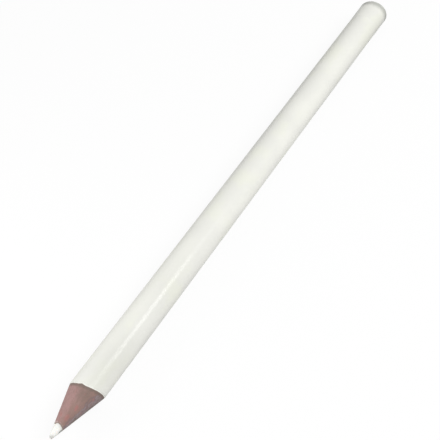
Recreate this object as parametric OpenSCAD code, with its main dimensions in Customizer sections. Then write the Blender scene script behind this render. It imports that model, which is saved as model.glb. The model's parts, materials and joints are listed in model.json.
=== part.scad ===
// Round colored pencil, sharpened at one end and dipped at the other.
// It lies along X with its point toward -X and rests on the XY plane.
// Lengths are in millimetres and angles in degrees.

/* [Casing] */
// Length from the blunt tip to the crown of the dipped end
overall_length = 175; // [110:1:190]
// Diameter of the two glued slats after they are milled round
casing_d = 7.5; // [6:0.1:9]

/* [Core] */
// Diameter of the pigment core
core_d = 2.3; // [2:0.1:3.8]
// How far the core and the seam lie off the barrel axis, toward the upper slat
core_off = 0.36; // [0:0.02:0.5]
// Thickness of the glue between the core and its groove
core_glue_t = 0.06; // [0.05:0.01:0.12]
// Thickness of the glue between the two slats
seam_glue_t = 0.06; // [0.05:0.01:0.12]

/* [Lacquer] */
// Thickness of the filler coat that closes the wood grain
primer_t = 0.05; // [0.05:0.01:0.1]
// Thickness of the white coat over the filler
base_t = 0.05; // [0.05:0.01:0.1]
// Thickness of the outer gloss coat
gloss_t = 0.05; // [0.05:0.01:0.1]

/* [Point] */
// Full angle of the sharpened cone
point_angle = 27; // [20:1:36]
// Radius of the worn tip
tip_r = 0.45; // [0.25:0.05:0.7]

/* [Dipped end] */
// How far the dip reaches along the barrel
dip_length = 9; // [6:0.5:20]
// Thickness of the dip at the rim
dip_t = 0.08; // [0.06:0.01:0.15]
// Thickness of the dip over the middle of the cut end
dip_end_t = 0.8; // [0.6:0.05:1.2]
// Radius of the crowned end face
dip_crown_r = 24; // [20:1:60]
// Thickness left at the lip of the dip
dip_lip_t = 0.03; // [0.02:0.01:0.05]

/* [Rest] */
// Turn of the seam from level as the pencil lies
roll = -22; // [-180:1:180]

/* [Hidden] */
$fn = 96;

// Diameters from the core outward
groove_d = core_d + 2 * core_glue_t;
primer_d = casing_d + 2 * primer_t;
base_d = primer_d + 2 * base_t;
barrel_d = base_d + 2 * gloss_t;

// The lacquered blank is trimmed square before its end is dipped
blank_length = overall_length - dip_end_t;

// The worn tip is a ball that meets the cone tangentially
half_angle = point_angle / 2;
tangent_r = tip_r * cos(half_angle);
tangent_z = tip_r * (1 - sin(half_angle));

// The cone is drawn out to twice the barrel's radius, so it clears the barrel
cone_far_r = barrel_d;
cone_run = (cone_far_r - tangent_r) / tan(half_angle);

// The dip rounds the rim by its own thickness on both sides of the corner
dip_r = barrel_d / 2 + dip_t;
rim_r = dip_t + dip_end_t;
dip_start = overall_length - dip_length;

// The dipped end is the thickest place, so it sets the height of the axis
axis_height = dip_r;

// Lays a shape that was made along +Z, with the tip at zero, down along X
module lying() {
    translate([-overall_length / 2, 0, axis_height])
        rotate([90, 0, 90])
            children();
}

// Centres a shape on the core, with the seam along its first axis.
// The slats were milled deeper on one side, so the core runs off the barrel axis.
module on_core() {
    rotate(roll)
        translate([0, core_off])
            children();
}

// Half section of all that a sharpener leaves: a blunt cone that opens past the barrel
module sharpener_section() {
    polygon([
        [0, tip_r],
        [tangent_r, tangent_z],
        [cone_far_r, tangent_z + cone_run],
        [cone_far_r, overall_length + tip_r],
        [0, overall_length + tip_r]
    ]);
    intersection() {
        translate([0, tip_r])
            circle(r = tip_r);
        translate([0, -tip_r])
            square([2 * tip_r, 3 * tip_r]);
    }
}

// Cuts the point on a piece of the blank, so all the pieces end flush on one cone.
// The point is centred on the core, so it cuts the barrel on a slant.
module sharpened() {
    intersection() {
        children();
        on_core()
            rotate_extrude()
                sharpener_section();
    }
}

// A piece of the blank with one section from end to end
module blank() {
    lying()
        sharpened()
            linear_extrude(height = blank_length)
                children();
}

// The casing on one side of the glue seam, with its half of the core's groove
module slat_section(upper) {
    cut_away = upper ? seam_glue_t / 2 - 2 * casing_d : -seam_glue_t / 2;
    difference() {
        circle(d = casing_d);
        on_core() {
            circle(d = groove_d);
            translate([-casing_d, cut_away])
                square(2 * casing_d);
        }
    }
}

// Glue around the core with a fin on each side along the seam
module glue_section() {
    difference() {
        union() {
            on_core()
                circle(d = groove_d);
            intersection() {
                circle(d = casing_d);
                on_core()
                    square([2 * casing_d, seam_glue_t], center = true);
            }
        }
        on_core()
            circle(d = core_d);
    }
}

// A coat of lacquer between two diameters
module coat_section(inner_d, outer_d) {
    difference() {
        circle(d = outer_d);
        circle(d = inner_d);
    }
}

// Outside of the dip as a half section, before the crown trims its end.
// The coat thins out from the rim to its lip.
module dip_section() {
    polygon([
        [0, dip_start],
        [barrel_d / 2 + dip_lip_t, dip_start],
        [dip_r, overall_length - rim_r],
        [dip_r - rim_r, overall_length],
        [dip_r - rim_r, overall_length + rim_r],
        [0, overall_length + rim_r]
    ]);
    translate([dip_r - rim_r, overall_length - rim_r])
        intersection() {
            circle(r = rim_r);
            square(rim_r);
        }
}

module pigment_core() {
    color("ivory")
        blank()
            on_core()
                circle(d = core_d);
}

module casing_glue() {
    color("burlywood")
        blank()
            glue_section();
}

module upper_slat() {
    color("rosybrown")
        blank()
            slat_section(upper = true);
}

module lower_slat() {
    color("rosybrown")
        blank()
            slat_section(upper = false);
}

module primer_coat() {
    color("gainsboro")
        blank()
            coat_section(casing_d, primer_d);
}

module base_coat() {
    color("whitesmoke")
        blank()
            coat_section(primer_d, base_d);
}

module gloss_coat() {
    color("ghostwhite")
        blank()
            coat_section(base_d, barrel_d);
}

module end_dip() {
    color("white")
        lying()
            difference() {
                rotate_extrude()
                    intersection() {
                        dip_section();
                        translate([0, overall_length - dip_crown_r])
                            circle(r = dip_crown_r);
                    }
                cylinder(d = barrel_d, h = blank_length);
            }
}

pigment_core();
casing_glue();
upper_slat();
lower_slat();
primer_coat();
base_coat();
gloss_coat();
end_dip();
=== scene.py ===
"""Looks of a round white colored pencil, built around its packed frame.

The core, the glue, both halves of the casing and the three coats end on one sharpened
cone, so one function draws that cone for all of them. The pencil lies along X with its
point toward -X. Lengths are in metres, and sections are drawn around the barrel's axis.
"""

import json
import math
from functools import cached_property
from typing import Callable, NamedTuple

import bmesh
import bpy
import numpy as np
from bpy.props import FloatProperty, FloatVectorProperty, IntProperty, PointerProperty
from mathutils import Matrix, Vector


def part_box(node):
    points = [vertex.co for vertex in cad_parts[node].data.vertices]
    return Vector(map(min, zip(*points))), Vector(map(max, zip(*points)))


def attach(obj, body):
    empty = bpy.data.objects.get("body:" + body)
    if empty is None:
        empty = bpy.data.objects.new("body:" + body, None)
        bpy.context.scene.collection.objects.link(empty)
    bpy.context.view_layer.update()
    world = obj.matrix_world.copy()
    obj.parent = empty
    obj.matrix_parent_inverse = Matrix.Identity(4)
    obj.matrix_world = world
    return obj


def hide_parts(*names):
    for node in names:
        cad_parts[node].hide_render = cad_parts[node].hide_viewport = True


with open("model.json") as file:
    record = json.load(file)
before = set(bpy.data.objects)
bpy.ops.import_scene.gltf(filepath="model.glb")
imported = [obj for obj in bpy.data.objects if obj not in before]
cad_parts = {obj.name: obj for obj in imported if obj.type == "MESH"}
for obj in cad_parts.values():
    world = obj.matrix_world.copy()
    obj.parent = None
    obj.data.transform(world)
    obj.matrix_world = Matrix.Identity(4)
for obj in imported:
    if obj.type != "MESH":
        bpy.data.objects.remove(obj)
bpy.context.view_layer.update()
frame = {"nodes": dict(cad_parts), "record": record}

bl_info = {
    "name": "Colored Pencil",
    "version": (1, 0, 0),
    "blender": (4, 5, 0),
    "location": "3D View > Sidebar > Pencil",
    "description": "Builds a lacquered, sharpened colored pencil piece by piece",
    "category": "Add Mesh",
}

MM = 0.001
BODY = "root"
FULL_TURN = 2 * math.pi
AXIS_Z = frame["record"]["mounts"][0]["pos_m"][2]

# The core lies off the barrel's axis, square to the glue seam
CORE_LOW, CORE_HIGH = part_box("pigment_core")
CORE_Y = (CORE_LOW.y + CORE_HIGH.y) / 2
CORE_Z = (CORE_LOW.z + CORE_HIGH.z) / 2 - AXIS_Z
CORE_OFF = math.hypot(CORE_Y, CORE_Z)
ROLL = math.atan2(CORE_Z, CORE_Y) - math.pi / 2


def section(node):
    """Corners of a CAD node as (y, z), measured from the barrel's axis"""
    corners = frame["nodes"][node].data.vertices
    return np.array([(corner.co.y, corner.co.z - AXIS_Z) for corner in corners])


def farthest(node):
    """Largest distance of a CAD node from the barrel's axis"""
    return float(np.hypot(*section(node).T).max())


TIP_X = CORE_LOW.x
BLANK_END_X = CORE_HIGH.x
DIP_START_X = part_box("end_dip")[0].x
END_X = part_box("end_dip")[1].x
CASING_R = farthest("upper_slat")
FILLER_R = farthest("primer_coat")
WHITE_R = farthest("base_coat")
GLOSS_R = farthest("gloss_coat")
DIP_R = farthest("end_dip")
RIM_R = DIP_R - GLOSS_R + END_X - BLANK_END_X
SLAT_FROM_CORE = section("upper_slat") - (CORE_Y, CORE_Z)
CORE_R = float(np.hypot(*(section("pigment_core") - (CORE_Y, CORE_Z)).T).max())
GROOVE_R = float(np.hypot(*SLAT_FROM_CORE.T).min())
HALF_SEAM = float((SLAT_FROM_CORE @ (CORE_Y, CORE_Z)).min()) / CORE_OFF


class PencilPoint(bpy.types.PropertyGroup):
    """Shape of the sharpened point"""

    angle: FloatProperty(
        name="Point angle", description="Full angle of the cone", default=math.radians(27), subtype="ANGLE"
    )
    tip_radius: FloatProperty(
        name="Tip radius",
        description="Radius of the worn tip",
        default=0.45 * MM,
        unit="LENGTH",
        precision=5,
    )
    lobe: FloatProperty(
        name="Lobe", description="Share by which the cone is fuller across its lobe", default=0.018
    )
    lobe_turn: FloatProperty(
        name="Lobe turn",
        description="Direction of the lobe, from +Y",
        default=math.radians(125),
        subtype="ANGLE",
    )
    lean: FloatProperty(
        name="Lean",
        description="How far the tip stands off the core's axis",
        default=0.08 * MM,
        unit="LENGTH",
        precision=5,
    )
    lean_turn: FloatProperty(
        name="Lean turn",
        description="Direction of the lean, from +Y",
        default=math.radians(207),
        subtype="ANGLE",
    )
    tip_wear: FloatProperty(
        name="Tip wear",
        description="Depth of the flat that writing has worn on the tip",
        default=0.16 * MM,
        unit="LENGTH",
        precision=5,
    )
    core_wander: FloatProperty(
        name="Core wander",
        description="How far the edge of the core strays from a true circle",
        default=0.022 * MM,
        unit="LENGTH",
        precision=6,
    )
    core_flat: FloatProperty(
        name="Core flat",
        description="How far the wood overlaps a true circle on one side of the core",
        default=0.11 * MM,
        unit="LENGTH",
        precision=5,
    )
    fibre_relief: FloatProperty(
        name="Fibre relief",
        description="Height of the wood's fibres on the cut face",
        default=0.004 * MM,
        unit="LENGTH",
        precision=6,
    )
    blade_relief: FloatProperty(
        name="Blade marks",
        description="Depth of the rings that nicks in the blade leave",
        default=0.003 * MM,
        unit="LENGTH",
        precision=6,
    )
    torn_relief: FloatProperty(
        name="Torn fibres",
        description="Depth of the spots where fibres were pulled out",
        default=0.03 * MM,
        unit="LENGTH",
        precision=6,
    )
    ragged_edge: FloatProperty(
        name="Ragged edge",
        description="How far the lacquer has broken back from the cut",
        default=0.06 * MM,
        unit="LENGTH",
        precision=5,
    )


class PencilDip(bpy.types.PropertyGroup):
    """Shape of the dipped end"""

    slant: FloatProperty(
        name="Slant",
        description="How far off square the end was sawn",
        default=math.radians(6),
        subtype="ANGLE",
    )
    slant_turn: FloatProperty(
        name="Slant turn",
        description="Side where the end is longest, from +Y",
        default=math.radians(207),
        subtype="ANGLE",
    )
    crown_radius: FloatProperty(
        name="Crown radius", description="Radius of the crowned end face", default=24 * MM, unit="LENGTH"
    )
    lip: FloatProperty(
        name="Lip",
        description="Thickness just behind the lip",
        default=0.014 * MM,
        unit="LENGTH",
        precision=6,
    )
    lip_wave: FloatProperty(
        name="Lip wave",
        description="How unevenly the lip runs round",
        default=0.25 * MM,
        unit="LENGTH",
        precision=5,
    )
    pip: FloatProperty(
        name="Pip",
        description="Height of the set drop on the end",
        default=0.05 * MM,
        unit="LENGTH",
        precision=5,
    )


class PencilFinish(bpy.types.PropertyGroup):
    """Colours of the finishes"""

    lacquer: FloatVectorProperty(
        name="Lacquer", description="White of the barrel", default=(0.86, 0.86, 0.80), subtype="COLOR"
    )
    lacquer_shade: FloatVectorProperty(
        name="Lacquer shade",
        description="Greyer patches of the barrel",
        default=(0.82, 0.82, 0.77),
        subtype="COLOR",
    )
    lacquer_tint: FloatVectorProperty(
        name="Lacquer tint",
        description="Yellowed patches of the barrel",
        default=(0.85, 0.86, 0.76),
        subtype="COLOR",
    )
    filler: FloatVectorProperty(
        name="Filler", description="Filler under the white", default=(0.19, 0.145, 0.12), subtype="COLOR"
    )
    wood: FloatVectorProperty(
        name="Wood", description="Brown of the cut cedar", default=(0.315, 0.20, 0.172), subtype="COLOR"
    )
    blush: FloatVectorProperty(
        name="Blush", description="Pink growth of the cedar", default=(0.395, 0.24, 0.225), subtype="COLOR"
    )
    plum: FloatVectorProperty(
        name="Plum",
        description="Grey-violet growth of the cedar",
        default=(0.225, 0.162, 0.172),
        subtype="COLOR",
    )
    ash: FloatVectorProperty(
        name="Ash",
        description="Pale grey streak of the cedar",
        default=(0.33, 0.262, 0.265),
        subtype="COLOR",
    )
    rust: FloatVectorProperty(
        name="Rust", description="Red patches of the cedar", default=(0.42, 0.18, 0.165), subtype="COLOR"
    )
    core: FloatVectorProperty(
        name="Core", description="White of the pigment", default=(0.95, 0.94, 0.90), subtype="COLOR"
    )
    # Grey for marks and drag lines, also used as painted shade on the dipped rim and at the core's edge
    smudge_and_shade: FloatVectorProperty(
        name="Smudge",
        description="Dirt on the core and on the lacquer",
        default=(0.34, 0.35, 0.32),
        subtype="COLOR",
    )
    glue: FloatVectorProperty(
        name="Glue", description="Set glue", default=(0.24, 0.17, 0.14), subtype="COLOR"
    )


class PencilStudio(bpy.types.PropertyGroup):
    """Camera and light"""

    target: FloatVectorProperty(
        name="Target",
        description="Point at the middle of the picture",
        default=(-0.0119, -0.0006, 0.0037),
        subtype="XYZ",
        unit="LENGTH",
        precision=4,
    )
    distance: FloatProperty(
        name="Distance", description="Camera to target", default=0.3354, unit="LENGTH", precision=4
    )
    heading: FloatProperty(
        name="Heading",
        description="Direction of view in plan, from +X",
        default=math.radians(26.78),
        subtype="ANGLE",
    )
    elevation: FloatProperty(
        name="Elevation",
        description="Camera above the horizon",
        default=math.radians(42.03),
        subtype="ANGLE",
    )
    lens: FloatProperty(
        name="Lens", description="Focal length for a 36 mm sensor", default=114.27, unit="CAMERA"
    )
    ambient: FloatProperty(name="Ambient", description="Level of the even light of the room", default=0.4)
    bounce: FloatProperty(
        name="Bounce", description="Share of light that the floor throws back on the pencil", default=0.5
    )
    far_bounce: FloatProperty(
        name="Far bounce", description="The same share under the dipped end", default=0.18
    )


def around_core(distance, angle):
    """Places (y, z) at a distance from the core's axis and an angle from the glue seam"""
    return CORE_Y + distance * np.cos(angle + ROLL), CORE_Z + distance * np.sin(angle + ROLL)


def reach(angle, radius):
    """Distance from the core's axis to a circle around the barrel's, at an angle from the seam"""
    lean = CORE_OFF * np.sin(angle)
    return np.sqrt(lean**2 - CORE_OFF**2 + radius**2) - lean


WAVES = 40
PITCH_RANGE = (0.7, 1.4)


def uneven(points, wavelength, seed):
    """Smooth seeded noise of about one wavelength, with a spread of one"""
    rng = np.random.default_rng(seed)
    heading = rng.normal(size=(WAVES, points.shape[-1]))
    heading /= np.linalg.norm(heading, axis=1, keepdims=True)
    pitch = rng.uniform(*PITCH_RANGE, size=(WAVES, 1)) * FULL_TURN / wavelength
    phase = rng.uniform(0, FULL_TURN, WAVES)
    return np.cos(points @ (heading * pitch).T + phase).sum(axis=-1) * math.sqrt(2 / WAVES)


LEAN_ROUNDS = 4


def sharpened(distance, angle):
    """Points of the blunt cone, at distances from the core's axis and angles from the seam.

    The cone is slightly oval, and its axis leans so that it meets the core's where the cut ends.
    """
    point = bpy.context.scene.pencil_point
    half = point.angle / 2
    tangent = point.tip_radius * math.cos(half)
    run = GLOSS_R / math.tan(half)
    fullness = 1 + point.lobe * np.cos(angle + ROLL - point.lobe_turn) ** 2
    toward_lean = np.cos(angle + ROLL - point.lean_turn)
    depth = 0.0
    for _ in range(LEAN_ROUNDS):
        stray = point.lean * (1 - depth / run)
        radius = np.sqrt(distance**2 - 2 * distance * stray * toward_lean + stray**2) / fullness
        ball = point.tip_radius - np.sqrt(np.clip(point.tip_radius**2 - radius**2, 0, None))
        cone = point.tip_radius * (1 - math.sin(half)) + (radius - tangent) / math.tan(half)
        depth = np.where(radius < tangent, ball, cone)
    return np.stack([TIP_X + depth, *around_core(distance, angle)], axis=-1)


def tip_place():
    """Place (y, z) of the leaning tip"""
    point = bpy.context.scene.pencil_point
    across_y = point.lean * math.cos(point.lean_turn)
    across_z = point.lean * math.sin(point.lean_turn)
    return CORE_Y + across_y, CORE_Z + across_z


def cut_deeper(points, depth):
    """Moves points of the cone back along X, so that the cut is deeper there by a depth"""
    half = bpy.context.scene.pencil_point.angle / 2
    points[..., 0] += depth / math.sin(half)


def once_round(angle):
    """Places on a circle of radius one"""
    return np.stack([np.cos(angle), np.sin(angle)], axis=-1)


def aside(angle, turn):
    """Angle away from a direction that is given from +Y, from minus to plus half a turn"""
    return (angle + ROLL - turn + math.pi) % FULL_TURN - math.pi


CORE_EDGE_SEED = 11
CORE_EDGE_WAVE = 1.1
FLAT_TURN = math.radians(42)
FLAT_HALF = math.radians(42)
FLAT_FADE = math.radians(6)


def strayed(radius, angle):
    """Radius of the core or its groove, which stray from a circle between the ends of the seam"""
    point = bpy.context.scene.pencil_point
    stray = point.core_wander * uneven(once_round(angle), CORE_EDGE_WAVE, CORE_EDGE_SEED)
    past_flat = np.abs(aside(angle, FLAT_TURN)) - FLAT_HALF
    stray = stray - point.core_flat * (0.5 - 0.5 * np.tanh(past_flat / FLAT_FADE))
    return radius + stray * np.sin(angle) ** 2


AROUND = 144


def full_circle(count):
    """Angles once around, without the last that would fall on the first"""
    return np.linspace(0, FULL_TURN, count, endpoint=False)


def slope():
    """How much farther the sawn end reaches for each metre along +Y and +Z"""
    dip = bpy.context.scene.pencil_dip
    toward = np.array((math.cos(dip.slant_turn), math.sin(dip.slant_turn)))
    return math.tan(dip.slant) * toward


def trimmed(front):
    """Flat sheet behind a front, at the sawn end of the blank"""
    back = front.copy()
    back[..., 0] = BLANK_END_X + front[..., 1:] @ slope()
    return back


def wall(edge, steps=1):
    """Sheet from an edge of the cut straight back to the sawn end of the blank"""
    share = np.linspace(0, 1, steps + 1)[:, None]
    sheet = np.repeat(edge[None], steps + 1, axis=0)
    sheet[..., 0] = edge[:, 0] + (trimmed(edge)[:, 0] - edge[:, 0]) * share
    return sheet


def block(front, *borders):
    """Open sheets of a block: its cut face, its sawn end and a wall behind each border"""
    return [(sheet, False) for sheet in (front, trimmed(front), *map(wall, borders))]


WELD = 1e-8


def add_sheet(builder, sheet, closed):
    """Faces over a grid of points, with its borders marked as sharp"""
    rows = [[builder.verts.new(place) for place in row] for row in sheet + (0.0, 0.0, AXIS_Z)]
    if closed:
        rows = [row + row[:1] for row in rows]
    for near, far in zip(rows, rows[1:]):
        for corner in range(len(near) - 1):
            ring = (near[corner], near[corner + 1], far[corner + 1], far[corner])
            builder.faces.new(ring).smooth = True
    borders = [rows[0], rows[-1]]
    if not closed:
        borders += [[row[0] for row in rows], [row[-1] for row in rows]]
    for border in borders:
        for start, end in zip(border, border[1:]):
            builder.edges.get((start, end)).smooth = False


def make_piece(name, sheets, material, node):
    """One closed mesh welded from sheets, each with a note of whether it closes on itself"""
    builder = bmesh.new()
    for sheet, closed in sheets:
        add_sheet(builder, sheet, closed)
    bmesh.ops.remove_doubles(builder, verts=builder.verts, dist=WELD)
    bmesh.ops.recalc_face_normals(builder, faces=builder.faces)
    mesh = bpy.data.meshes.new(name)
    builder.to_mesh(mesh)
    builder.free()
    mesh.materials.append(material)
    piece = bpy.data.objects.new(name, mesh)
    bpy.context.scene.collection.objects.link(piece)
    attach(piece, BODY)
    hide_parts(node)


class Noise(NamedTuple):
    """Noise with features of one size, drawn out along an axis where stretch is small"""

    size: float
    stretch: tuple = (1, 1, 1)
    detail: float = 2.0
    roughness: float = 0.5


class Fade(NamedTuple):
    """Smooth change of an amount from low to high, as a value goes from start to end"""

    start: float
    end: float
    low: float = 0.0
    high: float = 1.0

    def moved(self, way):
        """The same change where the value is larger by a way"""
        return self._replace(start=self.start + way, end=self.end + way)


class Spot(NamedTuple):
    """Place by its X, its distance from the core's axis and its turn from +Y.

    Distances from it are measured short along X where stretch is small, so a mark there is long.
    """

    x: float
    radius: float
    turn: float
    stretch: float = 1.0


class Wiring:
    """Adds nodes to a material or a world, with their inputs set or linked"""

    def __init__(self, holder):
        holder.use_nodes = True
        self.holder = holder
        self.tree = holder.node_tree

    @cached_property
    def place(self):
        """Place that is shaded, in the piece's own frame"""
        return self.node("ShaderNodeTexCoord").outputs["Object"]

    def node(self, kind, *values, **settings):
        """A new node, with its settings and its first inputs"""
        node = self.tree.nodes.new(kind)
        for key, setting in settings.items():
            setattr(node, key, setting)
        for socket, value in zip(node.inputs, values):
            self.feed(socket, value)
        return node

    def feed(self, socket, value):
        if isinstance(value, bpy.types.NodeSocket):
            self.tree.links.new(value, socket)
        elif socket.type == "RGBA":
            socket.default_value = (*value, 1)
        else:
            socket.default_value = value

    def shade(self, **inputs):
        """Sets or links sockets of the material's shader, named with underscores for spaces"""
        shader = self.tree.nodes["Principled BSDF"]
        for key, value in inputs.items():
            socket = key.replace("_", " ").title().replace("Ior", "IOR")
            self.feed(shader.inputs[socket], value)

    def math(self, operation, *values):
        return self.node("ShaderNodeMath", *values, operation=operation).outputs[0]

    def plus(self, value, share, other):
        """A share of one value added to another"""
        return self.math("MULTIPLY_ADD", value, share, other)

    def vector(self, operation, *values):
        node = self.node("ShaderNodeVectorMath", *values, operation=operation)
        one_number = operation in ("LENGTH", "DISTANCE", "DOT_PRODUCT")
        return node.outputs["Value" if one_number else "Vector"]

    def noise(self, kind, shift=(0, 0, 0)):
        """A kind of noise, read at a place that is shifted"""
        spot = self.vector("MULTIPLY_ADD", self.place, kind.stretch, shift)
        node = self.node("ShaderNodeTexNoise", spot)
        self.feed(node.inputs["Scale"], 1 / kind.size)
        self.feed(node.inputs["Detail"], kind.detail)
        self.feed(node.inputs["Roughness"], kind.roughness)
        return node.outputs["Fac"]

    def band(self, value, fade):
        """Amount that a fade gives for a value"""
        node = self.node("ShaderNodeMapRange", value, *fade, interpolation_type="SMOOTHSTEP")
        return node.outputs[0]

    def mix(self, factor, first, second):
        """Colour between two colours"""
        node = self.node("ShaderNodeMix", data_type="RGBA")
        self.feed(node.inputs["Factor"], factor)
        colours = [socket for socket in node.inputs if socket.type == "RGBA"]
        self.feed(colours[0], first)
        self.feed(colours[1], second)
        return next(socket for socket in node.outputs if socket.type == "RGBA")

    def layered(self, colour, *layers):
        """Colour under layers of another colour, each as strong as its fade gives for its value"""
        for value, fade, over in layers:
            colour = self.mix(self.band(value, fade), colour, over)
        return colour

    def from_axis(self, y, z):
        """Distance from a line along X"""
        offset = self.vector("SUBTRACT", self.place, (0, y, z))
        return self.vector("LENGTH", self.vector("MULTIPLY", offset, (0, 1, 1)))

    def from_spot(self, spot):
        """Distance from a spot"""
        spot_y = CORE_Y + spot.radius * math.cos(spot.turn)
        spot_z = AXIS_Z + CORE_Z + spot.radius * math.sin(spot.turn)
        short = self.vector("MULTIPLY", self.place, (spot.stretch, 1, 1))
        return self.vector("DISTANCE", short, (spot.stretch * spot.x, spot_y, spot_z))

    def bump(self, height, distance, normal=None):
        """Normal bent by a height from 0 to 1, of a real depth"""
        node = self.node("ShaderNodeBump")
        self.feed(node.inputs["Strength"], 1.0)
        self.feed(node.inputs["Distance"], distance)
        self.feed(node.inputs["Height"], height)
        if normal is not None:
            self.feed(node.inputs["Normal"], normal)
        return node.outputs["Normal"]


# Range of values that most of a noise lies in
NOISE_RANGE = (0.3, 0.7)
GRAIN = (0.06, 1.0, 1.0)
DRAG = (0.03, 1.0, 1.0)

GREY_PATCH_TURN = math.radians(128)
GREY_PATCH_SPREAD = 3 * MM
GREY_PATCH_REACH = (2.2 * MM, 6.2 * MM)
# Grey patches on the upper side of the barrel, one near the point and a fainter one further back
GREY_PATCH_PLACES = (
    (Spot(TIP_X + 21 * MM, GLOSS_R, GREY_PATCH_TURN, 0.28), Fade(*GREY_PATCH_REACH, 0.19, 0)),
    (Spot(TIP_X + 48 * MM, GLOSS_R, GREY_PATCH_TURN, 0.25), Fade(*GREY_PATCH_REACH, 0.085, 0)),
)


def upper_grey_patches(wiring, patches):
    """Amount of grey in patches on the upper side of the barrel, most of all near the point"""
    grey = 0.0
    for spot, fade in GREY_PATCH_PLACES:
        near_patch = wiring.plus(patches, GREY_PATCH_SPREAD, wiring.from_spot(spot))
        grey = wiring.math("ADD", wiring.band(near_patch, fade), grey)
    return grey


SCUFFS = Noise(0.9 * MM, detail=4, roughness=0.65)
SCUFF_SPREAD = 1.2 * MM
# The grey at the rim is partly scuffs and partly painted shade of the rounded rim
RIM_SCUFF_AND_SHADE_FADE = Fade(0.95 * MM, 3.1 * MM, 0.66, 0)


def rim_distance(wiring):
    """Distance from the round rim of the dipped end"""
    along_y, along_z = slope()
    square_x = wiring.vector("DOT_PRODUCT", wiring.place, (1, -along_y, -along_z))
    place = wiring.node("ShaderNodeCombineXYZ", square_x, wiring.from_axis(0, AXIS_Z))
    rim = (END_X - RIM_R - along_z * AXIS_Z, DIP_R, 0)
    return wiring.vector("DISTANCE", place.outputs["Vector"], rim)


def rim_scuffs_and_shade(wiring, shift):
    """Amount of grey at the rim of the dipped end: scuffs, and painted shade all round the rounded rim"""
    near_rim = wiring.plus(wiring.noise(SCUFFS, shift), SCUFF_SPREAD, rim_distance(wiring))
    return wiring.band(near_rim, RIM_SCUFF_AND_SHADE_FADE)


LACQUER_PATCHES = Noise(7 * MM, (0.6, 1, 1), detail=3)
LACQUER_TINT = Noise(5 * MM, (0.5, 1, 1))
LACQUER_DRAG = Noise(0.5 * MM, DRAG, detail=3)
LACQUER_PEEL = Noise(0.9 * MM, (0.6, 1, 1))
LACQUER_SHADE_FADE = Fade(0.40, 0.62)
LACQUER_TINT_FADE = Fade(0.46, 0.66, 0, 0.75)
LACQUER_DRAG_FADE = Fade(0.35, 0.75, 0, 0.2)
LACQUER_ROUGHNESS = Fade(*NOISE_RANGE, 0.14, 0.20)
LACQUER_GLOSS = Fade(0.42, 0.72, 0.32, 0.02)
PEEL_DEPTH = 0.004 * MM
DRAG_DEPTH = 0.003 * MM


def lacquer_finish(name, shift, shaded_scuffed_rim=False):
    """Gloss white: faint patches, lengthwise drag of the coating ring, grey patches, a little orange peel;
    on the dipped end, scuffs with painted shade round the rim instead of the patches
    """
    finish = bpy.context.scene.pencil_finish
    wiring = Wiring(bpy.data.materials.new(name))
    patches = wiring.noise(LACQUER_PATCHES, shift)
    tint = wiring.noise(LACQUER_TINT, shift[::-1])
    drag = wiring.noise(LACQUER_DRAG, shift)
    colour = wiring.layered(
        finish.lacquer,
        (patches, LACQUER_SHADE_FADE, finish.lacquer_shade),
        (tint, LACQUER_TINT_FADE, finish.lacquer_tint),
        (drag, LACQUER_DRAG_FADE, finish.lacquer_shade),
    )
    # Grey patches on the barrel; on the dipped end, scuffs and painted shade round the rim
    grey_and_shade = rim_scuffs_and_shade(wiring, shift) if shaded_scuffed_rim else upper_grey_patches(wiring, patches)
    surface = wiring.bump(wiring.noise(LACQUER_PEEL, shift), PEEL_DEPTH)
    facing = wiring.node("ShaderNodeLayerWeight").outputs["Facing"]
    wiring.shade(
        base_color=wiring.mix(grey_and_shade, colour, finish.smudge_and_shade),
        roughness=wiring.band(patches, LACQUER_ROUGHNESS),
        normal=wiring.bump(drag, DRAG_DEPTH, surface),
        specular_ior_level=wiring.band(facing, LACQUER_GLOSS),
    )
    return wiring.holder


GLOSS_SHIFT = (0.0, 0.03, 0.011)


def gloss_finish():
    """Gloss of the barrel, greyer in patches on its upper side"""
    return lacquer_finish("gloss_white", GLOSS_SHIFT)


WHITE_CLOUD = Noise(0.8 * MM, detail=3)
WHITE_BRUSHED = Noise(0.2 * MM, DRAG)
WHITE_ROUGHNESS = Fade(*NOISE_RANGE, 0.42, 0.58)
WHITE_DEPTH = 0.004 * MM


def white_finish():
    """Satin white coat that shows where the gloss has broken back"""
    finish = bpy.context.scene.pencil_finish
    wiring = Wiring(bpy.data.materials.new("white_coat"))
    brushed = wiring.noise(WHITE_BRUSHED)
    wiring.shade(
        base_color=wiring.mix(wiring.noise(WHITE_CLOUD), finish.lacquer, finish.lacquer_shade),
        roughness=wiring.band(brushed, WHITE_ROUGHNESS),
        normal=wiring.bump(brushed, WHITE_DEPTH),
    )
    return wiring.holder


FILLER_DUST = Noise(0.25 * MM, (0.4, 1, 1), detail=4, roughness=0.65)
FILLER_DUST_FADE = Fade(0.42, 0.72, 0, 0.6)
FILLER_ROUGHNESS = Fade(*NOISE_RANGE, 0.6, 0.85)
FILLER_DEPTH = 0.01 * MM


def filler_finish():
    """Brown-grey filler, dusty where the blade cut it"""
    finish = bpy.context.scene.pencil_finish
    wiring = Wiring(bpy.data.materials.new("grain_filler"))
    dust = wiring.noise(FILLER_DUST)
    wiring.shade(
        base_color=wiring.layered(finish.filler, (dust, FILLER_DUST_FADE, finish.wood)),
        roughness=wiring.band(dust, FILLER_ROUGHNESS),
        normal=wiring.bump(dust, FILLER_DEPTH),
    )
    return wiring.holder


WOOD_FIBRE = Noise(0.14 * MM, GRAIN, detail=4, roughness=0.6)
WOOD_STREAKS = Noise(0.5 * MM, (0.15, 1, 1))
WOOD_MOTTLE = Noise(0.8 * MM, (0.5, 1, 1), detail=3)
WOOD_PATCHES = Noise(1.3 * MM, (0.6, 1, 1), detail=1)
WOOD_PORES = Noise(0.16 * MM, (0.15, 1, 1), detail=1)

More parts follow.
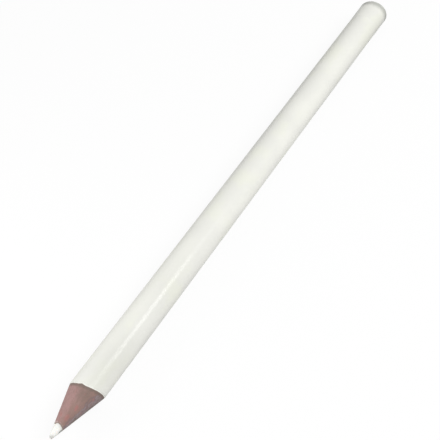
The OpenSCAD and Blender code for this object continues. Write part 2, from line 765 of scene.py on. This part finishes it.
# The tone goes from one side of the cone to the other, with a share of mottle in it
TONE_TURN = math.radians(26)
TONE_MOTTLE = 1.3
TONE_MIDDLE = 0.65
BLUSH_FADE = Fade(-0.25, 0.55)
PLUM_FADE = Fade(-0.92, -0.50, 1, 0)
ASH_FADE = Fade(-0.95, -0.78, 0.8, 0)
# Painted shade: dark filler colour along the cone's low side that faces -Y
PAINTED_SHADE_FADE = Fade(-1.15, -0.98, 0.8, 0)

RUST_FADE = Fade(0.60, 0.74, 0, 0.7)
FLECK = Spot(TIP_X + 5.3 * MM, 1.6 * MM, math.radians(126), 0.45)
FLECK_FADE = Fade(0.15 * MM, 0.65 * MM, 0.7, 0)
UMBER = Spot(TIP_X + 11.4 * MM, 3.1 * MM, math.radians(119))
UMBER_MOTTLE = 1.4 * MM
UMBER_FADE = Fade(1.0 * MM, 3.5 * MM, 0.5, 0)
STREAK_FADE = Fade(0.52, 0.75, 0, 0.22)
FIBRE_FADE = Fade(0.46, 0.72, 0, 0.26)
PORE_FADE = Fade(0.66, 0.76, 0, 0.5)
# Darker band on the wood just under the lacquer edge
DARK_EDGE_STREAKS = 0.10 * MM
DARK_EDGE_FADE = Fade(CASING_R - 0.13 * MM, CASING_R + 0.03 * MM, 0, 0.85)
SMEAR_FIBRE = 0.25 * MM
SMEAR_FADE = Fade(GROOVE_R + 0.08 * MM, GROOVE_R + 0.17 * MM, 0.22, 0)

FIBRE_DEPTH = 0.02 * MM
PORE_HOLLOW = Fade(0.62, 0.74)
PORE_DEPTH = 0.012 * MM
WOOD_ROUGHNESS = Fade(*NOISE_RANGE, 0.55, 0.8)
WOOD_SPECULAR = 0.3


def wood_tone(wiring, mottle, from_core):
    """Value that rises from one side of the cone to the other"""
    offset = wiring.vector("SUBTRACT", wiring.place, (0, CORE_Y, AXIS_Z + CORE_Z))
    toward = (0, math.cos(TONE_TURN), math.sin(TONE_TURN))
    across = wiring.vector("DOT_PRODUCT", offset, toward)
    return wiring.plus(mottle, TONE_MOTTLE, wiring.math("DIVIDE", across, from_core))


def wood_finish(name, bias, shift):
    """Cut cedar: tones that change round the cone, fibres, pores, a dark edge under the lacquer, and
    painted shade along the cone's low side
    """
    finish = bpy.context.scene.pencil_finish
    wiring = Wiring(bpy.data.materials.new(name))
    fibre = wiring.noise(WOOD_FIBRE, shift)
    streaks = wiring.noise(WOOD_STREAKS, shift)
    mottle = wiring.noise(WOOD_MOTTLE, shift)
    patches = wiring.noise(WOOD_PATCHES, shift[::-1])
    pores = wiring.noise(WOOD_PORES, shift[::-1])
    from_core = wiring.from_axis(CORE_Y, AXIS_Z + CORE_Z)
    tone = wood_tone(wiring, mottle, from_core)
    middle = TONE_MIDDLE + bias
    umber = wiring.plus(mottle, UMBER_MOTTLE, wiring.from_spot(UMBER))
    ragged = wiring.plus(streaks, DARK_EDGE_STREAKS, wiring.from_axis(0, AXIS_Z))
    smear = wiring.plus(fibre, SMEAR_FIBRE, from_core)
    colour = wiring.layered(
        finish.wood,
        (tone, BLUSH_FADE.moved(middle), finish.blush),
        (tone, PLUM_FADE.moved(middle), finish.plum),
        (tone, ASH_FADE.moved(middle), finish.ash),
        (tone, PAINTED_SHADE_FADE.moved(middle), finish.filler),
        (patches, RUST_FADE, finish.rust),
        (wiring.from_spot(FLECK), FLECK_FADE, finish.rust),
        (umber, UMBER_FADE, finish.filler),
        (streaks, STREAK_FADE, finish.filler),
        (fibre, FIBRE_FADE, finish.filler),
        (pores, PORE_FADE, finish.filler),
        (ragged, DARK_EDGE_FADE, finish.filler),
        (smear, SMEAR_FADE, finish.core),
    )
    surface = wiring.bump(fibre, FIBRE_DEPTH)
    hollow = wiring.math("SUBTRACT", 1.0, wiring.band(pores, PORE_HOLLOW))
    wiring.shade(
        base_color=colour,
        roughness=wiring.band(fibre, WOOD_ROUGHNESS),
        normal=wiring.bump(hollow, PORE_DEPTH, surface),
        specular_ior_level=WOOD_SPECULAR,
    )
    return wiring.holder


CORE_GRAIN = Noise(0.10 * MM, (0.4, 1, 1), detail=3, roughness=0.6)
CORE_DRAG = Noise(0.22 * MM, (0.12, 1, 1))
CORE_DRAG_FADE = Fade(0.50, 0.78, 0, 0.12)
# Grey on the worn tip, round a place just off it
TIP_GREY_OFFSET = (0.4 * MM, -0.2 * MM, 0.2 * MM)
TIP_GREY_GRAIN = 0.7 * MM
TIP_GREY_FADE = Fade(0.45 * MM, 0.95 * MM, 0.5, 0)
# A dark mark on the core's lower side next to the wood
SIDE_MARK = Spot(TIP_X + 2.5 * MM, 1.0 * MM, math.radians(194), 0.6)
SIDE_MARK_FADE = Fade(0.32 * MM, 0.62 * MM, 0.95, 0)
# Painted shade on the core's rim where it meets the wood
PAINTED_SHADE_EDGE_FADE = Fade(CORE_R - 0.26 * MM, CORE_R - 0.02 * MM, 0, 0.26)
GLUE_EDGE_FADE = Fade(CORE_R - 0.06 * MM, CORE_R + 0.01 * MM, 0, 0.5)
CORE_DEPTH = 0.014 * MM
CORE_ROUGHNESS = Fade(*NOISE_RANGE, 0.45, 0.65)
WAX_GLOW = 0.15
WAX_REACH = (0.3 * MM, 0.25 * MM, 0.2 * MM)


def core_finish():
    """Waxy white pigment: faint drag lines, pits, grey on the tip, a dark mark on one side, and painted
    shade along its edge by the wood
    """
    finish = bpy.context.scene.pencil_finish
    wiring = Wiring(bpy.data.materials.new("white_pigment"))
    tip_y, tip_z = tip_place()
    off_x, off_y, off_z = TIP_GREY_OFFSET
    tip_grey_centre = (TIP_X + off_x, tip_y + off_y, AXIS_Z + tip_z + off_z)
    grain = wiring.noise(CORE_GRAIN)
    drag = wiring.noise(CORE_DRAG)
    tip_grey = wiring.plus(grain, TIP_GREY_GRAIN, wiring.vector("DISTANCE", wiring.place, tip_grey_centre))
    edge = wiring.from_axis(CORE_Y, AXIS_Z + CORE_Z)
    colour = wiring.layered(
        finish.core,
        (drag, CORE_DRAG_FADE, finish.smudge_and_shade),
        (tip_grey, TIP_GREY_FADE, finish.smudge_and_shade),
        (wiring.from_spot(SIDE_MARK), SIDE_MARK_FADE, finish.smudge_and_shade),
        (edge, PAINTED_SHADE_EDGE_FADE, finish.smudge_and_shade),
        (edge, GLUE_EDGE_FADE, finish.glue),
    )
    wiring.shade(
        base_color=colour,
        roughness=wiring.band(drag, CORE_ROUGHNESS),
        normal=wiring.bump(grain, CORE_DEPTH),
        subsurface_weight=WAX_GLOW,
        subsurface_radius=WAX_REACH,
        subsurface_scale=1.0,
    )
    return wiring.holder


GLUE_CLOUD = Noise(0.15 * MM, (0.3, 1, 1), detail=3)
GLUE_CLOUD_FADE = Fade(0.4, 0.7, 0, 0.6)
GLUE_ROUGHNESS = Fade(*NOISE_RANGE, 0.35, 0.6)
GLUE_DEPTH = 0.01 * MM


def glue_finish():
    """Set glue: a thin amber line with bubbles"""
    finish = bpy.context.scene.pencil_finish
    wiring = Wiring(bpy.data.materials.new("set_glue"))
    cloud = wiring.noise(GLUE_CLOUD)
    wiring.shade(
        base_color=wiring.layered(finish.glue, (cloud, GLUE_CLOUD_FADE, finish.wood)),
        roughness=wiring.band(cloud, GLUE_ROUGHNESS),
        normal=wiring.bump(cloud, GLUE_DEPTH),
    )
    return wiring.holder


CRUMB_SEED = 21
CRUMB_STRETCH = (0.4, 1, 1)
CRUMB_SIZE = 0.28 * MM
CRUMB_DEPTH = 0.0025 * MM
WORN_TOWARD = (-0.80, 0.50, 0.30)


class PENCIL_OT_core(bpy.types.Operator):
    """Pigment core with a worn, blunt tip"""

    bl_idname = "pencil.core"
    bl_label = "Core"

    rows: IntProperty(name="Rows", description="Rings of points on the tip", default=64, min=8)

    def execute(self, context):
        point = context.scene.pencil_point
        angle = full_circle(AROUND)[None]
        distance = np.linspace(0, 1, self.rows)[:, None] * strayed(CORE_R, angle)
        front = sharpened(distance, angle)
        fade = np.clip(distance / point.tip_radius, 0, 1)
        crumbs = uneven(front * CRUMB_STRETCH, CRUMB_SIZE, CRUMB_SEED)
        cut_deeper(front, CRUMB_DEPTH * crumbs * fade)
        worn_toward = np.array(WORN_TOWARD) / np.linalg.norm(WORN_TOWARD)
        ball_centre = np.array((TIP_X + point.tip_radius, *tip_place()))
        flat = (front - ball_centre) @ worn_toward - (point.tip_radius - point.tip_wear)
        front -= np.clip(flat, 0, None)[..., None] * worn_toward
        sheets = [(front, True), (wall(front[-1]), True), (trimmed(front), True)]
        make_piece("core_stick", sheets, core_finish(), "pigment_core")
        return {"FINISHED"}


FILM_ROWS = 3
FIN_COLUMNS = 3
FIN_ROWS = 40


class PENCIL_OT_glue(bpy.types.Operator):
    """Film of glue round the core, with a fin along the seam on either side"""

    bl_idname = "pencil.glue"
    bl_label = "Glue"

    def film(self, mouth, arc):
        """Sheets of the ring between core and groove, open where the fins join it"""
        half_round = np.concatenate([mouth[:-1], arc[:-1]])
        angle = np.concatenate([half_round, half_round + math.pi])[None]
        share = np.linspace(0, 1, FILM_ROWS)[:, None]
        inner = strayed(CORE_R, angle)
        ring = sharpened(inner + share * (strayed(GROOVE_R, angle) - inner), angle)
        return [(ring, True), (wall(ring[0]), True), (trimmed(ring), True)]

    def fin(self, mouth, turn):
        """Sheets of the fin on one side, from the ring out to the casing's circle"""
        across = GROOVE_R * np.sin(mouth)[None]
        inner = GROOVE_R * np.cos(mouth)[None]
        outer = np.sqrt(CASING_R**2 - (CORE_OFF + math.cos(turn) * across) ** 2)
        along = inner + np.linspace(0, 1, FIN_ROWS)[:, None] * (outer - inner)
        front = sharpened(np.hypot(along, across), np.arctan2(across, along) + turn)
        return block(front, front[-1], front[:, 0], front[:, -1])

    def execute(self, context):
        corner = math.asin(HALF_SEAM / GROOVE_R)
        mouth = np.linspace(-corner, corner, FIN_COLUMNS)
        arc = np.linspace(corner, math.pi - corner, AROUND // 2 - 1)
        sheets = self.film(mouth, arc)
        for turn in (0, math.pi):
            bow = sharpened(strayed(GROOVE_R, arc + turn), arc + turn)
            sheets += [(wall(bow), False), *self.fin(mouth, turn)]
        make_piece("glue_film", sheets, glue_finish(), "casing_glue")
        return {"FINISHED"}


CORNER_ROUNDS = 3


def slat_front(side, rows, columns):
    """Cut face of the slat on one side of the seam, from its groove out to the casing's circle"""
    out = np.linspace(0, 1, rows)[:, None]
    round_share = np.linspace(0, 1, columns)[None]
    angle = side * math.pi * round_share * np.ones_like(out)
    for _ in range(CORNER_ROUNDS):
        inner = strayed(GROOVE_R, angle)
        distance = inner + out * (reach(angle, CASING_R) - inner)
        corner = np.arcsin(HALF_SEAM / distance)
        angle = side * (corner + round_share * (math.pi - 2 * corner))
    return sharpened(distance, angle), distance


FIBRE_PITCH = 0.42 * MM
BLADE_PITCH = 0.12 * MM
TORN_SIZE = 0.9 * MM
TORN_STRETCH = (0.3, 1, 1)
TORN_LEVEL = 1.6
ROW_FADE = 30
COLUMN_FADE = 40


def border_distance(count):
    """Share of the way from the nearer border, for each of a count of points"""
    share = np.linspace(0, 1, count)
    return np.minimum(share, 1 - share)


def cut_wood(front, distance, seed):
    """Leaves fibres, blade rings and a few torn spots on a cut face, fading out at its borders"""
    point = bpy.context.scene.pencil_point
    relief = point.fibre_relief * uneven(front * GRAIN, FIBRE_PITCH, seed)
    relief += point.blade_relief * uneven(distance[..., None], BLADE_PITCH, seed + 1)
    torn = np.clip(uneven(front * TORN_STRETCH, TORN_SIZE, seed + 2) - TORN_LEVEL, 0, 1)
    relief += point.torn_relief * torn
    rows = border_distance(front.shape[0])[:, None]
    columns = border_distance(front.shape[1])[None]
    fade = np.minimum(rows * ROW_FADE, columns * COLUMN_FADE)
    cut_deeper(front, relief * np.clip(fade, 0, 1))


class Slat(NamedTuple):
    """Half of the casing, on one side of the seam, with its own tones and noises"""

    piece: str
    node: str
    side: int
    bias: float
    shift: tuple
    seed: int


SLATS = (
    Slat("top_casing", "upper_slat", side=1, bias=0.0, shift=(0.0, 0.013, 0.021), seed=31),
    Slat("bottom_casing", "lower_slat", side=-1, bias=0.1, shift=(0.031, 0.0, 0.007), seed=41),
)


class PENCIL_OT_casing(bpy.types.Operator):
    """The two glued slats of the casing, with the grain open on the sharpened cone"""

    bl_idname = "pencil.casing"
    bl_label = "Casing"

    rows: IntProperty(name="Rows", description="Rows of points from groove to rim", default=110, min=8)
    columns: IntProperty(name="Columns", description="Points from seam to seam", default=121, min=9)

    def execute(self, context):
        for slat in SLATS:
            front, distance = slat_front(slat.side, self.rows, self.columns)
            cut_wood(front, distance, slat.seed)
            sheets = block(front, front[0], front[-1], front[:, 0], front[:, -1])
            wood = wood_finish(slat.piece + "_wood", slat.bias, slat.shift)
            make_piece(slat.piece, sheets, wood, slat.node)
        return {"FINISHED"}


FRAY_WAVE = 0.22
CHIP_WAVE = 0.35
CHIP_LEVEL = 1.1
CHIP_MOST = 1.2
CHIP_SHARE = 2.2


def broken_back(angle, amount, seed):
    """How far the edge of a coat lies behind the cut: a fine fray with a few deeper chips"""
    rim = once_round(angle)
    fray = 0.5 + 0.5 * np.tanh(uneven(rim, FRAY_WAVE, seed))
    chips = np.clip(uneven(rim, CHIP_WAVE, seed + 1) - CHIP_LEVEL, 0, CHIP_MOST)
    return amount * (fray + CHIP_SHARE * chips)


NICK_TURN = math.radians(91)
NICK_SPREAD = math.radians(9)
NICK_DEPTH = 0.28 * MM


def nicked(angle):
    """How far the white has flaked off at one place of its edge"""
    return NICK_DEPTH * np.exp(-((aside(angle, NICK_TURN) / NICK_SPREAD) ** 2))


class Coat(NamedTuple):
    """Coat between two radii, with its share of the fray at the cut"""

    piece: str
    node: str
    slot: str
    inner_r: float
    outer_r: float
    finish: Callable
    fray: float


FILLER = Coat("filler_layer", "primer_coat", "primer", CASING_R, FILLER_R, filler_finish, fray=0.0)
WHITE = Coat("white_layer", "base_coat", "base_lacquer", FILLER_R, WHITE_R, white_finish, fray=0.6)
GLOSS = Coat("gloss_layer", "gloss_coat", "gloss_lacquer", WHITE_R, GLOSS_R, gloss_finish, fray=1.0)
FRAY_SEED = 51
RIPPLE_SEED = 61
RIPPLE_STRETCH = (0.25, 1, 1)
RIPPLE_WAVE = 5 * MM
RIPPLE_RISE = 40
RIPPLE_FALL = 4 * MM


class PENCIL_OT_coats(bpy.types.Operator):
    """Filler, white and gloss coats, whose edges are broken back a little from the cut"""

    bl_idname = "pencil.coats"
    bl_label = "Coats"

    rows: IntProperty(name="Rows", description="Rings of points across the cut of a coat", default=4, min=2)
    steps: IntProperty(name="Steps", description="Rings of points along the gloss", default=170, min=2)
    around: IntProperty(name="Around", description="Points once around", default=288, min=24)
    ripple: FloatProperty(
        name="Ripple", description="Unevenness of the gloss", default=0.003 * MM, unit="LENGTH", precision=6
    )

    def rippled(self, edge):
        """Outer wall of the gloss, with the slow unevenness of a lacquered barrel"""
        sheet = wall(edge, self.steps)
        rise = self.ripple * uneven(sheet * RIPPLE_STRETCH, RIPPLE_WAVE, RIPPLE_SEED)
        share = np.linspace(0, 1, self.steps + 1)[:, None]
        before_dip = (DIP_START_X - sheet[..., 0]) / RIPPLE_FALL
        rise *= np.clip(np.minimum(share * RIPPLE_RISE, before_dip), 0, 1)
        out = sheet[..., 1:] / np.linalg.norm(sheet[..., 1:], axis=-1, keepdims=True)
        sheet[..., 1:] += rise[..., None] * out
        return sheet

    def execute(self, context):
        point = context.scene.pencil_point
        angle = full_circle(self.around)[None]
        share = np.linspace(0, 1, self.rows)[:, None]
        set_back = np.zeros_like(angle)
        for seed, coat in enumerate((FILLER, WHITE, GLOSS), start=FRAY_SEED):
            inner = reach(angle, coat.inner_r)
            front = sharpened(inner + share * (reach(angle, coat.outer_r) - inner), angle)
            set_back = set_back + coat.fray * broken_back(angle, point.ragged_edge, seed)
            if coat is WHITE:
                set_back = set_back + nicked(angle)
            front[..., 0] += set_back
            outside = self.rippled(front[-1]) if coat is GLOSS else wall(front[-1])
            sheets = [(front, True), (wall(front[0]), True), (outside, True), (trimmed(front), True)]
            make_piece(coat.piece, sheets, coat.finish(), coat.node)
        return {"FINISHED"}


DIP_SHIFT = (0.05, 0.0, 0.017)
LIP_SEED = 71
LIP_WAVELENGTH = 1.3
LIP_SWING = 0.5
LIP_ROUND = 0.3 * MM
LIP_EDGE = 0.002 * MM
SIDE_CROWDING = 1.6
CROWN_BLEND = 0.12 * MM
DROP_PLACE = (0.5 * MM, -0.7 * MM)
DROP_SIZE = 0.9 * MM


class PENCIL_OT_dip(bpy.types.Operator):
    """Cap of lacquer where the end was dipped: a thin uneven lip, a round rim and a set drop"""

    bl_idname = "pencil.dip"
    bl_label = "Dipped end"

    side_rows: IntProperty(name="Side rows", description="Rings of points on the side", default=48, min=4)
    end_rows: IntProperty(
        name="End rows", description="Rings of points over the rim and end", default=56, min=8
    )

    def ringed(self, x, radius, across):
        """Sheet of rings at places along X, with their radii"""
        places = (x, radius * across[..., 0], radius * across[..., 1])
        return np.stack(np.broadcast_arrays(*places), axis=-1)

    def side(self, dip, lip_x, across):
        """Sheet from the lip to the rim, thin at first and thickest at the rim"""
        rim_x = END_X - RIM_R + DIP_R * (across @ slope())
        along = np.linspace(0, 1, self.side_rows)[:, None] ** SIDE_CROWDING
        x = lip_x + along * (rim_x - lip_x)
        rounded = np.sqrt(1 - (1 - np.clip((x - lip_x) / LIP_ROUND, 0, 1)) ** 2)
        radius = GLOSS_R + LIP_EDGE + dip.lip * rounded + (DIP_R - GLOSS_R - dip.lip) * along
        return self.ringed(x, radius, across)

    def end(self, dip, across):
        """Sheet over the rim and the crowned end, with the drop that set on it"""
        turn = np.linspace(0, 1, self.end_rows)[1:, None]
        radius = DIP_R * np.cos(turn * math.pi / 2)
        past_rim = np.clip(radius - (DIP_R - RIM_R), 0, RIM_R)
        rim = END_X - RIM_R + np.sqrt(RIM_R**2 - past_rim**2)
        crown_x = END_X - dip.pip - dip.crown_radius
        crown = crown_x + np.sqrt(dip.crown_radius**2 - radius**2)
        blend = np.clip(0.5 + 0.5 * (crown - rim) / CROWN_BLEND, 0, 1)
        lower = crown + (rim - crown) * blend - CROWN_BLEND * blend * (1 - blend)
        sheet = self.ringed(lower + radius * (across @ slope()), radius, across)
        from_drop = np.linalg.norm(sheet[..., 1:] - DROP_PLACE, axis=-1)
        sheet[..., 0] += dip.pip * np.exp(-((from_drop / DROP_SIZE) ** 2))
        return sheet

    def execute(self, context):
        dip = context.scene.pencil_dip
        across = once_round(full_circle(AROUND)[None])
        swing = LIP_SWING * uneven(across, LIP_WAVELENGTH, LIP_SEED)
        lip_x = DIP_START_X + dip.lip_wave * (1 + swing)
        side = self.side(dip, lip_x, across)
        outside = np.concatenate([side, self.end(dip, across)])
        lip = self.ringed(lip_x, GLOSS_R, across)
        bore = np.concatenate([lip, trimmed(lip)])
        seat = np.concatenate([trimmed(lip), trimmed(0 * lip)])
        lip_face = np.concatenate([lip, side[:1]])
        sheets = [(outside, True), (lip_face, True), (bore, True), (seat, True)]
        # Scuffs and painted shade round the rounded rim of the cap
        lacquer = lacquer_finish("dip_white", DIP_SHIFT, shaded_scuffed_rim=True)
        make_piece("dipped_cap", sheets, lacquer, "end_dip")
        return {"FINISHED"}


class Lamp(NamedTuple):
    """Softbox of a width and a height, whose face has a level of brightness, where 1 is white"""

    name: str
    place: tuple
    aim: tuple
    size: tuple
    level: float


KEY = Lamp("key_box", place=(0.07, -0.30, 0.36), aim=(0.07, 0, 0), size=(0.25, 0.25), level=4.88)
FRONT = Lamp("front_box", place=(-0.20, -0.25, 0.38), aim=(0, 0, 0), size=(0.25, 0.25), level=2.4)
FILL = Lamp("fill_box", place=(-0.11, 0.09, 0.06), aim=(-0.075, 0, 0), size=(0.07, 0.07), level=3.8)
STRIP = Lamp(
    "strip_box", place=(0.287, -0.268, 0.37), aim=(0.287, 0, 0), size=(0.088, 0.18), level=5.8
)
END = Lamp(
    "end_box", place=(0.30, -0.01, 0.03), aim=(END_X, 0, AXIS_Z), size=(0.24, 0.05), level=3.0
)
SENSOR_WIDTH = 36
WHITE_LEVEL = 1.0
FLOOR_HALF = 2.0
FLOOR_COLOUR = (0.95, 0.95, 0.95)
FLOOR_GLOW_SHARE = 0.91
ROOM_COLOUR = (1, 1, 1)
BOUNCE_FALL = (0.01, 0.10)


class PENCIL_OT_stage(bpy.types.Operator):
    """Pale floor, soft lamps, white surroundings and the camera"""

    bl_idname = "pencil.stage"
    bl_label = "Stage"

    def seen(self, wiring):
        """1 for rays that show the background itself: camera, glossy and transmission rays"""
        path = wiring.node("ShaderNodeLightPath")
        value = path.outputs["Is Camera Ray"]
        for other in ("Is Glossy Ray", "Is Transmission Ray"):
            value = wiring.math("MAXIMUM", value, path.outputs[other])
        return value

    def bounce(self, context, wiring):
        """Share of light that the floor throws back, which falls toward the dipped end"""
        studio = context.scene.pencil_studio
        along = wiring.node("ShaderNodeSeparateXYZ", wiring.place)
        fall = Fade(*BOUNCE_FALL, studio.bounce, studio.far_bounce)
        return wiring.band(along.outputs["X"], fall)

    def paper(self, context):
        """Paper that lights the pencil from below, and looks white apart from a soft shadow"""
        wiring = Wiring(bpy.data.materials.new("floor_paper"))
        wiring.tree.nodes.clear()
        lit = wiring.node("ShaderNodeBsdfDiffuse", self.bounce(context, wiring)).outputs[0]
        shaded = wiring.node("ShaderNodeBsdfDiffuse", FLOOR_COLOUR).outputs[0]
        glow = wiring.node("ShaderNodeEmission", ROOM_COLOUR, WHITE_LEVEL).outputs[0]
        shown = wiring.node("ShaderNodeMixShader", FLOOR_GLOW_SHARE, shaded, glow).outputs[0]
        surface = wiring.node("ShaderNodeMixShader", self.seen(wiring), lit, shown).outputs[0]
        wiring.node("ShaderNodeOutputMaterial", surface)
        return wiring.holder

    def floor(self, context):
        low, high = -FLOOR_HALF, FLOOR_HALF
        corners = [(low, low, 0), (high, low, 0), (high, high, 0), (low, high, 0)]
        mesh = bpy.data.meshes.new("floor")
        mesh.from_pydata(corners, [], [(0, 1, 2, 3)])
        mesh.materials.append(self.paper(context))
        floor = bpy.data.objects.new("floor", mesh)
        context.scene.collection.objects.link(floor)

    def surroundings(self, context):
        wiring = Wiring(bpy.data.worlds.new("white_room"))
        room = wiring.tree.nodes["Background"]
        level = Fade(0, 1, context.scene.pencil_studio.ambient, WHITE_LEVEL)
        wiring.feed(room.inputs["Strength"], wiring.band(self.seen(wiring), level))
        wiring.feed(room.inputs["Color"], ROOM_COLOUR)
        context.scene.world = wiring.holder

    def camera(self, context):
        studio = context.scene.pencil_studio
        camera = bpy.data.objects.new("camera", bpy.data.cameras.new("camera"))
        context.scene.collection.objects.link(camera)
        level = math.cos(studio.elevation)
        view_x = level * math.cos(studio.heading)
        view_y = level * math.sin(studio.heading)
        view = Vector((view_x, view_y, -math.sin(studio.elevation)))
        camera.location = Vector(studio.target) - studio.distance * view
        camera.rotation_euler = view.to_track_quat("-Z", "Y").to_euler()
        camera.data.sensor_width = SENSOR_WIDTH
        camera.data.lens = studio.lens
        context.scene.camera = camera

    def lamp(self, context, box):
        light = bpy.data.lights.new(box.name, "AREA")
        light.shape = "RECTANGLE"
        light.size, light.size_y = box.size
        light.energy = box.level * math.pi * box.size[0] * box.size[1]
        holder = bpy.data.objects.new(box.name, light)
        holder.location = box.place
        toward = Vector(box.aim) - Vector(box.place)
        holder.rotation_euler = toward.to_track_quat("-Z", "Y").to_euler()
        context.scene.collection.objects.link(holder)

    def execute(self, context):
        context.scene.view_settings.view_transform = "Standard"
        self.floor(context)
        self.surroundings(context)
        self.camera(context)
        for box in (KEY, FRONT, FILL, STRIP, END):
            self.lamp(context, box)
        return {"FINISHED"}


class PENCIL_PT_builder(bpy.types.Panel):
    """Builds the pencil from its core outward"""

    bl_label = "Colored Pencil"
    bl_idname = "PENCIL_PT_builder"
    bl_space_type = "VIEW_3D"
    bl_region_type = "UI"
    bl_category = "Pencil"

    def draw(self, context):
        for builder in OPERATORS:
            self.layout.operator(builder.bl_idname)
        for group in GROUPS:
            box = self.layout.box()
            box.label(text=group.__doc__)
            settings = getattr(context.scene, GROUPS[group])
            for key in group.__annotations__:
                box.prop(settings, key)


GROUPS = {
    PencilPoint: "pencil_point",
    PencilDip: "pencil_dip",
    PencilFinish: "pencil_finish",
    PencilStudio: "pencil_studio",
}
OPERATORS = (
    PENCIL_OT_core,
    PENCIL_OT_glue,
    PENCIL_OT_casing,
    PENCIL_OT_coats,
    PENCIL_OT_dip,
    PENCIL_OT_stage,
)
CLASSES = (*GROUPS, *OPERATORS, PENCIL_PT_builder)


def register():
    for each in CLASSES:
        bpy.utils.register_class(each)
    for group, name in GROUPS.items():
        setattr(bpy.types.Scene, name, PointerProperty(type=group))


def unregister():
    for name in GROUPS.values():
        delattr(bpy.types.Scene, name)
    for each in reversed(CLASSES):
        bpy.utils.unregister_class(each)


def main():
    register()
    bpy.ops.pencil.core()
    bpy.ops.pencil.glue()
    bpy.ops.pencil.casing()
    bpy.ops.pencil.coats()
    bpy.ops.pencil.dip()
    bpy.ops.pencil.stage()


if __name__ == "__main__":
    main()
